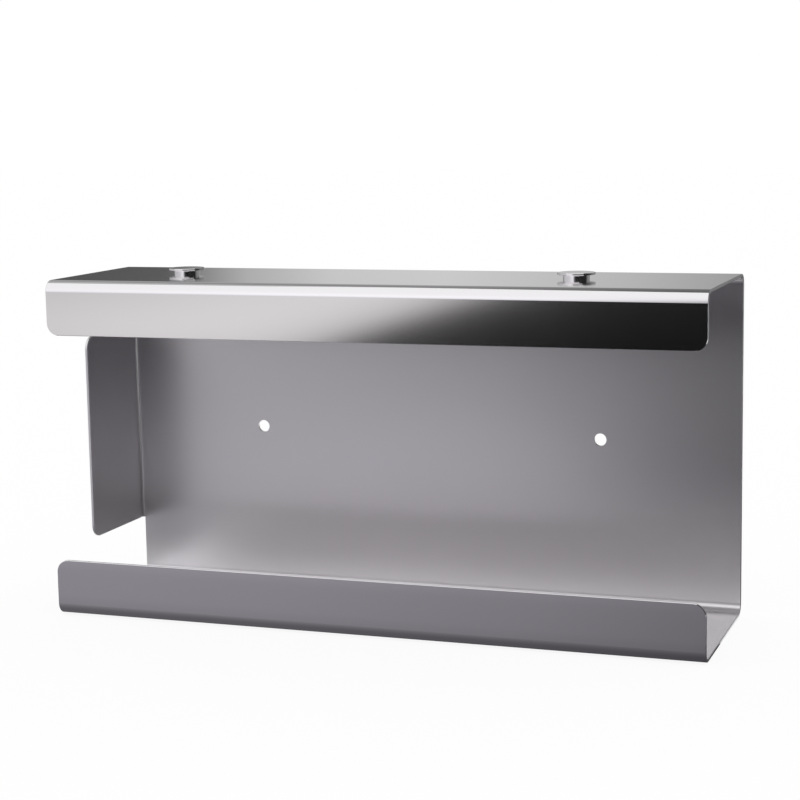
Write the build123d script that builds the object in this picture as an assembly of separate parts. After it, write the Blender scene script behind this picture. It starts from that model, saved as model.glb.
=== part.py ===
"""Dispenser for one carton of disposable gloves, folded from a single stainless sheet.

X runs along the carton, Y from the open front (-Y) to the wall (+Y) and Z up. The origin is
under the middle of the body, on the face that it stands on. All sizes are in millimetres.
"""

import os

from build123d import *

# Folded body
body_width = 260.0
body_height = 133.6
body_depth = 74.3
sheet = 1.2
bend_inside = 3.3
top_lip = 21.4
bottom_lip = 22.3
lip_corner = 5.0
edge_break = 0.2

# Stop tab, folded forward from the plate's left edge over a smaller radius
tab_height = 83.1
tab_bottom = 24.9
tab_reach = 44.6
tab_corner = 5.0
tab_bend_inside = 1.0

# Wall screws through the plate
screw_hole = 5.0
screw_left_margin = 59.4
screw_right_margin = 56.0
screw_height = 67.0

# Headed studs pressed into the top panel, for a keyholed part to hook on to
stud_left_margin = 41.4
stud_right_margin = 57.4
stud_from_front = 41.4
stud_head = 14.4
stud_head_edge = 0.8
stud_head_cone = 0.4
stud_neck = 10.0
stud_lift = 1.1
stud_shank = 7.0
stud_edge = 0.2

# Values that follow from the sizes above
bend_outside = bend_inside + sheet
tab_bend_outside = tab_bend_inside + sheet
left_end = -body_width / 2
right_end = body_width / 2
front = -body_depth / 2
back = body_depth / 2
plate_edge = left_end + tab_bend_outside
through = 3 * sheet
stud_places = (
    (left_end + stud_left_margin, front + stud_from_front),
    (right_end - stud_right_margin, front + stud_from_front),
)
screw_places = (left_end + screw_left_margin, right_end - screw_right_margin)


def folded_strip(corners, radius, plane, length):
    """Sheet whose outer face follows the corners, with that radius at each fold, extruded."""
    outer = FilletPolyline(*corners, radius=radius)
    section = offset(outer, amount=sheet, side=Side.RIGHT, closed=True)
    return extrude(plane * make_face(section), amount=length)


def soften(shape, keep_sharp=()):
    """Breaks the edges at which two faces meet squarely, apart from those kept sharp."""
    faces_beside = {}
    for face in shape.faces():
        for edge in face.edges():
            faces_beside.setdefault(edge, []).append(face)

    def is_square(edge):
        middle = edge.position_at(0.5)
        first, second = (face.normal_at(middle) for face in faces_beside[edge])
        return abs(first.dot(second)) < 0.5

    edges = [edge for edge in faces_beside if edge not in keep_sharp and is_square(edge)]
    return chamfer(ShapeList(edges), length=edge_break)


def lipped_channel():
    """Lip, top panel, wall plate, bottom panel and lip, folded in one strip."""
    corners = (
        (front, body_height - top_lip),
        (front, body_height),
        (back, body_height),
        (back, 0),
        (front, 0),
        (front, bottom_lip),
    )
    end_plane = Plane(origin=(left_end, 0, 0), x_dir=(0, 1, 0), z_dir=(1, 0, 0))
    channel = folded_strip(corners, bend_outside, end_plane, body_width)
    lip_ends = (body_height - top_lip, bottom_lip)
    free_corners = channel.edges().filter_by(Axis.Y).filter_by(
        lambda edge: any(abs(edge.center().Z - z) < sheet / 2 for z in lip_ends)
    )
    return soften(fillet(free_corners, radius=lip_corner))


def end_relief():
    """What is cut from the left end, plate and folds alike, so that the tab folds freely."""
    return Pos(left_end, back, 0) * Box(
        tab_bend_outside,
        bend_outside,
        body_height,
        align=(Align.MIN, Align.MAX, Align.MIN),
    )


def stop_tab():
    """Tab with its own fold, from the plate's edge to its rounded front corners."""
    corners = (
        (left_end, back - tab_reach),
        (left_end, back),
        (plate_edge + sheet, back),
    )
    tab = folded_strip(corners, tab_bend_outside, Plane.XY.offset(tab_bottom), tab_height)
    tab -= Pos(plate_edge, back, tab_bottom) * Box(
        through, through, tab_height, align=(Align.MIN, Align.CENTER, Align.MIN)
    )
    front_corners = tab.edges().filter_by(Axis.X).group_by(Axis.Y)[0]
    tab = fillet(front_corners, radius=tab_corner)
    return soften(tab, keep_sharp=tab.faces().sort_by(Axis.X)[-1].edges())


def screw_holes():
    """Round holes through the plate, on one level line."""
    bore = Rot(90, 0, 0) * Cylinder(screw_hole / 2, through)
    return [Pos(x, back, screw_height) * bore for x in screw_places]


def stud_holes():
    """Round holes in the top panel that the studs' shanks are pressed into."""
    return [Pos(x, y, body_height) * Cylinder(stud_shank / 2, through) for x, y in stud_places]


def body():
    folded = lipped_channel() - end_relief() + stop_tab()
    return folded - screw_holes() - stud_holes()


def stud():
    """Turned stud: shank flush with the sheet's underside, neck, and a wide shallow head."""
    head_top = stud_lift + stud_head_cone + stud_head_edge
    outline = Polyline(
        (0, -sheet),
        (stud_shank / 2, -sheet),
        (stud_shank / 2, 0),
        (stud_neck / 2, 0),
        (stud_neck / 2, stud_lift),
        (stud_head / 2, stud_lift + stud_head_cone),
        (stud_head / 2, head_top),
        (0, head_top),
        close=True,
    )
    turned = revolve(Plane.XZ * make_face(outline), axis=Axis.Z)
    rim = turned.edges().filter_by(GeomType.CIRCLE).group_by(SortBy.RADIUS)[-1]
    return chamfer(rim, length=stud_edge)


def main():
    os.makedirs("parts", exist_ok=True)
    export_step(body(), "parts/folded_body.step")
    for name, (x, y) in zip(("stud_left", "stud_right"), stud_places):
        export_step(Pos(x, y, body_height) * stud(), f"parts/{name}.step")


main()
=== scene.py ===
import math

import bpy
from mathutils import Matrix, Vector

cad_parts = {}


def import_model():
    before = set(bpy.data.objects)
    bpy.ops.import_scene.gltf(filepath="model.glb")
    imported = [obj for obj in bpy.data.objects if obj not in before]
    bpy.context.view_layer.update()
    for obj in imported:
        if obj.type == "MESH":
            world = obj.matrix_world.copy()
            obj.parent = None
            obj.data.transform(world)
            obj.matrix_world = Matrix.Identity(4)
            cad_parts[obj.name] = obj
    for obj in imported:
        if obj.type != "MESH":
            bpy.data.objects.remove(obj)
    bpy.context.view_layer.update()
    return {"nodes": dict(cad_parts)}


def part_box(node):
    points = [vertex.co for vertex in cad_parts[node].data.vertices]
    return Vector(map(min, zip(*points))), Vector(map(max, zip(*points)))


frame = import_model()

# Lengths are in metres in the frame of the CAD model: the open front faces -Y and Z is up.
# The camera stands to the right of the open front and a little above it.
CAMERA_PLACE = Vector((0.25043, -0.69372, 0.19492))
CAMERA_YAW = 0.3425
CAMERA_PITCH = 0.1472
CAMERA_ROLL = 0.0169
CAMERA_LENS = 86.21
CAMERA_SENSOR = 36.0

# Stainless steel: polished outside, hazier where it looks into the bay, and dull where it is cut
STEEL = (0.86, 0.845, 0.86, 1.0)
OUTSIDE_ROUGHNESS = 0.08
INSIDE_ROUGHNESS = 0.32
CUT_ROUGHNESS = 0.45
TURNED_ROUGHNESS = 0.1

# A cut edge lies within this depth of the body's box, a little more than the sheet is thick
RIM_DEPTH = 0.00125
FOLD_DEPTH = 4 * RIM_DEPTH

# Share of a face's normal along an axis, past which the face counts as square to that axis
SQUARE = 0.7
HALF_SQUARE = 0.5

# Noise scales are in waves per metre, and spreads are shares of the roughness
GRAIN_ACROSS = 2200.0
GRAIN_ALONG = 30.0
GRAIN_DETAIL = 3.0
GRAIN_SPREAD = 0.04
GRAIN_STRENGTH = 0.03
GRAIN_HEIGHT = 0.00002
SMUDGE_SCALE = (24.0, 24.0, 14.4)
SMUDGE_DETAIL = 2.0
SMUDGE_SPREAD = 0.07
TURNING_SCALE = (300.0, 300.0, 9000.0)
TURNING_DETAIL = 2.0
TURNING_SPREAD = 0.2

# Studio
WHITE = (1.0, 1.0, 1.0, 1.0)
FLOOR_COLOUR = (0.97, 0.97, 0.97, 1.0)
FLOOR_WHITE_SHARE = 0.9
FLOOR_DROP = 0.0003
FLOOR_SIZE = 12.0
CARD_LAYER = 0.00005
ROOM_RADIUS = 2.0
ROOM_CENTRE = Vector((0.0, 0.0, 0.06))
PLAIN_TINT = (1.0, 1.0, 1.0)
NEAR_TINT = (1.035, 1.0, 1.10)
ROOM_TINT = (1.005, 1.0, 1.03)
FAR_TINT = (1.015, 1.0, 1.0)

# The room's cards, in degrees: azimuths run from the front (-Y) towards the stop tab (-X)
FRONT_START = -40
LEFT_START = 100
REAR_START = 130
RIGHT_START = 192
RIGHT_END = 320
ROOM_FOOT = -2
REAR_SPLIT = 9
ROOM_TOP = 66
REAR_TOP = 82
CARD_STEP = 6

body_low, body_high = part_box("folded_body")


def new_material(name):
    material = bpy.data.materials.new(name)
    material.use_nodes = True
    material.node_tree.nodes.clear()
    return material, material.node_tree


def new_surface(tree, kind):
    """A shader of that kind, joined to the material's surface."""
    shader = tree.nodes.new(kind)
    output = tree.nodes.new("ShaderNodeOutputMaterial")
    tree.links.new(shader.outputs[0], output.inputs["Surface"])
    return shader


def plug(tree, socket, value):
    """Joins another node's output to the socket, or sets the socket to a plain value."""
    if isinstance(value, bpy.types.NodeSocket):
        tree.links.new(value, socket)
    else:
        socket.default_value = value


def math_node(tree, operation, *values):
    node = tree.nodes.new("ShaderNodeMath")
    node.operation = operation
    for socket, value in zip(node.inputs, values):
        plug(tree, socket, value)
    return node.outputs[0]


def vector_node(tree, operation, output, *values):
    node = tree.nodes.new("ShaderNodeVectorMath")
    node.operation = operation
    for socket, value in zip(node.inputs, values):
        plug(tree, socket, value)
    return node.outputs[output]


def combined(tree, operation, first, *others):
    """One value from many, such as the product or the highest of all."""
    result = first
    for other in others:
        result = math_node(tree, operation, result, other)
    return result


def along_axes(tree, vector):
    axes = tree.nodes.new("ShaderNodeSeparateXYZ")
    tree.links.new(vector, axes.inputs["Vector"])
    return axes.outputs


def noise(tree, place, scale, detail):
    """Noise from 0 to 1 at a place, stretched by a scale per axis."""
    grains = tree.nodes.new("ShaderNodeTexNoise")
    grains.inputs["Scale"].default_value = 1.0
    grains.inputs["Detail"].default_value = detail
    tree.links.new(vector_node(tree, "MULTIPLY", "Vector", place, scale), grains.inputs["Vector"])
    return grains.outputs["Fac"]


def between(tree, factor, low, high):
    spread = tree.nodes.new("ShaderNodeMapRange")
    plug(tree, spread.inputs["Value"], factor)
    plug(tree, spread.inputs["To Min"], low)
    plug(tree, spread.inputs["To Max"], high)
    return spread.outputs["Result"]


def around(tree, factor, middle, share):
    """Follows the factor from a share below the middle value to the same share above it."""
    return between(tree, factor, middle * (1 - share), middle * (1 + share))


def mixed(tree, blend, share, first, second):
    mix = tree.nodes.new("ShaderNodeMix")
    mix.data_type = "RGBA"
    mix.blend_type = blend
    sockets = [socket for socket in mix.inputs if socket.enabled]
    for socket, value in zip(sockets, (share, first, second)):
        plug(tree, socket, value)
    return next(socket for socket in mix.outputs if socket.enabled)


def ramp(tree, source, stops, tint=PLAIN_TINT):
    """Glow that follows stops of (value of source, brightness), with straight runs between."""
    low, high = stops[0][0], stops[-1][0]
    spread = tree.nodes.new("ShaderNodeMapRange")
    spread.inputs["From Min"].default_value = low
    spread.inputs["From Max"].default_value = high
    colours = tree.nodes.new("ShaderNodeValToRGB")
    colours.color_ramp.interpolation = "LINEAR"
    elements = colours.color_ramp.elements
    for value, _ in stops[1:-1]:
        elements.new((value - low) / (high - low))
    for element, (_, brightness) in zip(elements, stops):
        element.color = (*(brightness * share for share in tint), 1.0)
    tree.links.new(source, spread.inputs["Value"])
    tree.links.new(spread.outputs["Result"], colours.inputs["Fac"])
    return colours.outputs["Color"]


def plain_steel(name):
    material, tree = new_material(name)
    shader = new_surface(tree, "ShaderNodeBsdfPrincipled")
    shader.inputs["Base Color"].default_value = STEEL
    shader.inputs["Metallic"].default_value = 1.0
    return material, tree, shader


def looks_inward(tree, place, face):
    """1 on faces that look towards the middle of the bay."""
    middle = tuple((body_low + body_high) / 2)
    inward = vector_node(tree, "SUBTRACT", "Vector", middle, place)
    facing = vector_node(tree, "DOT_PRODUCT", "Value", inward, face)
    return math_node(tree, "GREATER_THAN", facing, 0.0)


def is_cut(tree, spot, facing):
    """1 on cut edges: around both lips, down the front of the stop tab and at the open end."""
    lip_rim = combined(
        tree, "MULTIPLY",
        math_node(tree, "LESS_THAN", math_node(tree, "ABSOLUTE", facing["Y"]), HALF_SQUARE),
        math_node(tree, "LESS_THAN", spot["Y"], body_low.y + RIM_DEPTH),
    )
    tab_rim = combined(
        tree, "MULTIPLY",
        math_node(tree, "LESS_THAN", facing["Y"], -HALF_SQUARE),
        math_node(tree, "LESS_THAN", spot["X"], body_low.x + RIM_DEPTH),
        math_node(tree, "GREATER_THAN", spot["Y"], body_low.y + FOLD_DEPTH),
    )
    end_rim = combined(
        tree, "MULTIPLY",
        math_node(tree, "GREATER_THAN", facing["X"], SQUARE),
        math_node(tree, "GREATER_THAN", spot["X"], (body_low.x + body_high.x) / 2),
    )
    return combined(tree, "MAXIMUM", lip_rim, tab_rim, end_rim)


def ground_grain(tree, place, facing):
    """Grain along the faces: up the plate, the lips and the stop tab, and across the panels."""
    on_tab = math_node(tree, "GREATER_THAN", math_node(tree, "ABSOLUTE", facing["X"]), SQUARE)
    sheet_grain = noise(tree, place, (GRAIN_ACROSS, GRAIN_ALONG, GRAIN_ALONG), GRAIN_DETAIL)
    tab_grain = noise(tree, place, (GRAIN_ALONG, GRAIN_ACROSS, GRAIN_ALONG), GRAIN_DETAIL)
    return between(tree, on_tab, sheet_grain, tab_grain)


def satin_sheet():
    material, tree, shader = plain_steel("satin_sheet")
    place = tree.nodes.new("ShaderNodeTexCoord").outputs["Object"]
    face = tree.nodes.new("ShaderNodeNewGeometry").outputs["True Normal"]
    spot = along_axes(tree, place)
    facing = along_axes(tree, face)
    grain = ground_grain(tree, place, facing)
    smudge = noise(tree, place, SMUDGE_SCALE, SMUDGE_DETAIL)

    inside = looks_inward(tree, place, face)
    face_roughness = between(tree, inside, OUTSIDE_ROUGHNESS, INSIDE_ROUGHNESS)
    roughness = combined(
        tree, "MULTIPLY",
        between(tree, is_cut(tree, spot, facing), face_roughness, CUT_ROUGHNESS),
        around(tree, smudge, 1.0, SMUDGE_SPREAD),
        around(tree, grain, 1.0, GRAIN_SPREAD),
    )
    tree.links.new(roughness, shader.inputs["Roughness"])

    bump = tree.nodes.new("ShaderNodeBump")
    bump.inputs["Strength"].default_value = GRAIN_STRENGTH
    bump.inputs["Distance"].default_value = GRAIN_HEIGHT
    tree.links.new(grain, bump.inputs["Height"])
    tree.links.new(bump.outputs["Normal"], shader.inputs["Normal"])
    return material


def turned_steel():
    material, tree, shader = plain_steel("turned_steel")
    place = tree.nodes.new("ShaderNodeTexCoord").outputs["Object"]
    marks = noise(tree, place, TURNING_SCALE, TURNING_DETAIL)
    roughness = around(tree, marks, TURNED_ROUGHNESS, TURNING_SPREAD)
    tree.links.new(roughness, shader.inputs["Roughness"])
    return material


def floor_material():
    """Pale paint that takes a shadow, and mostly plain white to the camera and in metal or glass."""
    material, tree = new_material("pale_floor")
    mix = new_surface(tree, "ShaderNodeMixShader")
    paint = tree.nodes.new("ShaderNodeBsdfDiffuse")
    paint.inputs["Color"].default_value = FLOOR_COLOUR
    white = tree.nodes.new("ShaderNodeEmission")
    white.inputs["Color"].default_value = WHITE
    white.inputs["Strength"].default_value = 1.0
    ray = tree.nodes.new("ShaderNodeLightPath").outputs
    seen = combined(
        tree, "MAXIMUM", ray["Is Camera Ray"], ray["Is Glossy Ray"], ray["Is Transmission Ray"]
    )
    tree.links.new(math_node(tree, "MULTIPLY", seen, FLOOR_WHITE_SHARE), mix.inputs["Fac"])
    tree.links.new(paint.outputs["BSDF"], mix.inputs[1])
    tree.links.new(white.outputs["Emission"], mix.inputs[2])
    return material


def plain_glow(name, brightness):
    material, tree = new_material(name)
    glow = new_surface(tree, "ShaderNodeEmission")
    glow.inputs["Color"].default_value = (brightness, brightness, brightness, 1.0)
    return material


def fading_glow(name, fades, white_from=None, tint=PLAIN_TINT):
    """Glow of a card: the product of its fades, each a dict entry of local axis and stops.

    white_from is (axis, stops), where the stops say how far plain white has taken over.
    """
    material, tree = new_material(name)
    glow = new_surface(tree, "ShaderNodeEmission")
    axes = along_axes(tree, tree.nodes.new("ShaderNodeTexCoord").outputs["Object"])
    (first_axis, first_stops), *other_fades = fades.items()
    colour = ramp(tree, axes[first_axis], first_stops, tint)
    for axis, stops in other_fades:
        colour = mixed(tree, "MULTIPLY", 1.0, colour, ramp(tree, axes[axis], stops))
    if white_from:
        axis, stops = white_from
        colour = mixed(tree, "MIX", ramp(tree, axes[axis], stops), colour, WHITE)
    tree.links.new(colour, glow.inputs["Color"])
    return material


def staged(name, vertices, faces, material):
    mesh = bpy.data.meshes.new(name)
    mesh.from_pydata(vertices, [], faces)
    mesh.materials.append(material)
    piece = bpy.data.objects.new(name, mesh)
    bpy.context.scene.collection.objects.link(piece)
    return piece


def rectangle(across, along, height):
    """Corners in order, and the one face between them."""
    (left, right), (near, far) = across, along
    corners = [(left, near, height), (right, near, height), (right, far, height), (left, far, height)]
    return corners, [(0, 1, 2, 3)]


def show_in_metal_only(piece):
    piece.visible_camera = False
    piece.visible_diffuse = False
    piece.visible_shadow = False


def direction(azimuth, height):
    """Unit vector for an azimuth and a height in degrees."""
    a, h = math.radians(azimuth), math.radians(height)
    return Vector((-math.sin(a) * math.cos(h), -math.cos(a) * math.cos(h), math.sin(h)))


def room_card(azimuths, heights, material):
    """Curved card around the object, between two azimuths and two heights."""
    columns = round((azimuths[1] - azimuths[0]) / CARD_STEP)
    rows = round((heights[1] - heights[0]) / CARD_STEP)
    vertices = []
    for n in range(columns + 1):
        azimuth = azimuths[0] + (azimuths[1] - azimuths[0]) * n / columns
        for k in range(rows + 1):
            height = heights[0] + (heights[1] - heights[0]) * k / rows
            vertices.append(ROOM_CENTRE + ROOM_RADIUS * direction(azimuth, height))
    step = rows + 1
    faces = [
        (n * step + k, n * step + k + 1, (n + 1) * step + k + 1, (n + 1) * step + k)
        for n in range(columns) for k in range(rows)
    ]
    show_in_metal_only(staged(material.name, vertices, faces, material))


def floor_card(turn, across, along, layer, material):
    """Card on the floor, whose local Y runs away from the front face, turned towards the stop tab."""
    a = math.radians(turn)
    away = Vector((-math.sin(a), -math.cos(a), 0.0))
    sideways = Vector((math.cos(a), -math.sin(a), 0.0))
    downwards = Vector((0.0, 0.0, -1.0))
    foot = Vector((0.0, body_low.y, body_low.z - FLOOR_DROP + layer * CARD_LAYER))
    piece = staged(material.name, *rectangle(across, along, 0.0), material)
    axes = Matrix((sideways, away, downwards)).transposed().to_4x4()
    piece.matrix_world = Matrix.Translation(foot) @ axes
    show_in_metal_only(piece)


def floor():
    reach = (-FLOOR_SIZE / 2, FLOOR_SIZE / 2)
    staged("floor", *rectangle(reach, reach, body_low.z - FLOOR_DROP), floor_material())


def floor_cards():
    """What the steel mirrors from the floor: grey near by, with a painted shadow of the object at its foot,
    and a dark room beyond on the right.
    """
    # Painted shade: the grey floor in front is darker close to the object, standing in for the object's own
    # shadow there, and fades from light on the left to dark on the right
    front_along = (
        (0.02, 0.46), (0.10, 0.60), (0.16, 0.76), (0.22, 0.64), (0.29, 0.36), (0.38, 0.10), (0.88, 0.03),
    )
    front_across = ((-0.45, 1.0), (-0.03, 1.0), (0.04, 0.88), (0.075, 0.45), (0.10, 0.06), (0.16, 0.0))
    front = fading_glow("front_floor_painted_shade", {"Y": front_along, "X": front_across}, tint=NEAR_TINT)
    floor_card(17, (-0.45, 1.2), (0.02, 0.88), 2, front)

    # Painted shadow: this strip darkens the floor that the steel mirrors at the object's foot, standing in
    # for the object's contact shadow, and is lighter towards the left
    foot_shadow_along = (
        (-0.03, 0.06), (0.0, 0.12), (0.012, 0.24), (0.03, 0.275), (0.07, 0.28), (0.10, 0.34), (0.12, 0.40),
    )
    foot_shadow_across = ((-0.30, 0.98), (-0.13, 0.96), (-0.05, 0.91), (0.05, 0.77), (0.12, 0.60), (0.20, 0.15))
    foot = fading_glow("foot_floor_painted_shadow", {"Y": foot_shadow_along, "X": foot_shadow_across}, tint=NEAR_TINT)
    floor_card(0, (-0.30, 0.20), (-0.03, 0.12), 4, foot)

    # The top lip's dark diagonal is this card's step at X = -0.35
    far_across = (
        (-1.3, 0.58), (-0.8, 0.68), (-0.6, 0.77), (-0.5, 0.79), (-0.43, 0.74), (-0.385, 0.58),
        (-0.36, 0.26), (-0.35, 0.17), (-0.343, 0.06), (-0.33, 0.032), (-0.30, 0.018), (-0.1, 0.008),
    )
    floor_card(0, (-1.4, 1.4), (0.80, 2.1), 4, fading_glow("far_floor", {"X": far_across}, tint=FAR_TINT))

    middle_across = ((-1.3, 0.35), (-0.5, 0.35), (-0.38, 0.22), (-0.30, 0.05))
    middle = fading_glow("mid_floor", {"X": middle_across}, tint=NEAR_TINT)
    floor_card(0, (-1.3, -0.30), (0.48, 0.80), 3, middle)

    floor_card(0, (-0.60, -0.13), (-0.60, -0.03), 3, plain_glow("left_floor", 0.5))

    right_across = ((0.135, 0.02), (0.30, 0.04), (0.8, 0.45), (2.0, 0.5))
    floor_card(0, (0.135, 2.0), (-2.0, 0.02), 3, fading_glow("right_floor", {"X": right_across}))


def room_cards():
    """What the steel mirrors from the room: bright on the left and high up, dark on the right."""
    front_across = (
        (-1.97, 0.75), (-1.29, 0.9), (-1.0, 1.03), (-0.8, 1.12), (-0.6, 1.12), (-0.42, 1.04),
        (-0.28, 0.76), (-0.1, 0.30), (0.0, 0.14), (0.3, 0.02), (0.6, 0.0),
    )
    front_up = (
        (0.0, 0.24), (0.06, 0.30), (0.20, 0.62), (0.34, 0.88), (0.51, 1.01), (0.8, 1.04), (2.0, 0.9),
    )
    white_above = ((0.34, 0.0), (0.8, 0.6), (1.2, 0.92), (1.6, 1.0))
    front = fading_glow(
        "front_room", {"X": front_across, "Z": front_up}, ("Z", white_above), ROOM_TINT
    )
    room_card((FRONT_START, LEFT_START), (ROOM_FOOT, ROOM_TOP), front)

    room_card((LEFT_START, REAR_START), (ROOM_FOOT, ROOM_TOP), plain_glow("left_room", 0.5))

    right_back = ((-1.6, 0.02), (0.5, 0.02), (1.2, 0.22), (2.0, 0.32))
    right = fading_glow("dark_right", {"Y": right_back})
    room_card((RIGHT_START, RIGHT_END), (ROOM_FOOT, ROOM_TOP), right)

    low_across = (
        (-1.53, 0.26), (-1.2, 0.065), (-0.96, 0.10), (-0.86, 0.44), (-0.75, 0.60), (-0.6, 0.63),
        (-0.35, 0.5), (0.0, 0.2), (0.42, 0.1),
    )
    room_card((REAR_START, RIGHT_START), (ROOM_FOOT, REAR_SPLIT), fading_glow("rear_low", {"X": low_across}))

    rear_across = ((-1.5, 0.45), (-0.6, 0.42), (-0.35, 0.28), (0.0, 0.12), (0.42, 0.05))
    rear_up = ((0.37, 1.1), (0.75, 0.95), (1.3, 0.75), (2.0, 0.6))
    rear = fading_glow("rear_room", {"X": rear_across, "Z": rear_up})
    room_card((REAR_START, RIGHT_START), (REAR_SPLIT, REAR_TOP), rear)


def world():
    room = bpy.data.worlds.new("white_room")
    room.use_nodes = True
    background = room.node_tree.nodes["Background"]
    background.inputs["Color"].default_value = WHITE
    background.inputs["Strength"].default_value = 1.0
    bpy.context.scene.world = room


def camera():
    yaw, pitch, roll = CAMERA_YAW, CAMERA_PITCH, CAMERA_ROLL
    level_ahead = Vector((-math.sin(yaw), math.cos(yaw), 0.0))
    level_right = Vector((math.cos(yaw), math.sin(yaw), 0.0))
    forward = math.cos(pitch) * level_ahead - Vector((0.0, 0.0, math.sin(pitch)))
    down = forward.cross(level_right)
    right = math.cos(roll) * level_right + math.sin(roll) * down
    up = math.sin(roll) * level_right - math.cos(roll) * down
    lens = bpy.data.cameras.new("camera")
    lens.lens = CAMERA_LENS
    lens.sensor_width = CAMERA_SENSOR
    eye = bpy.data.objects.new("camera", lens)
    bpy.context.scene.collection.objects.link(eye)
    axes = Matrix((right, up, -forward)).transposed().to_4x4()
    eye.matrix_world = Matrix.Translation(CAMERA_PLACE) @ axes
    bpy.context.scene.camera = eye


def dress():
    sheet = satin_sheet()
    turned = turned_steel()
    for node, material in (("folded_body", sheet), ("stud_left", turned), ("stud_right", turned)):
        for slot in frame["nodes"][node].material_slots:
            slot.material = material


world()
camera()
dress()
floor()
floor_cards()
room_cards()
bpy.context.scene.view_settings.view_transform = "Standard"
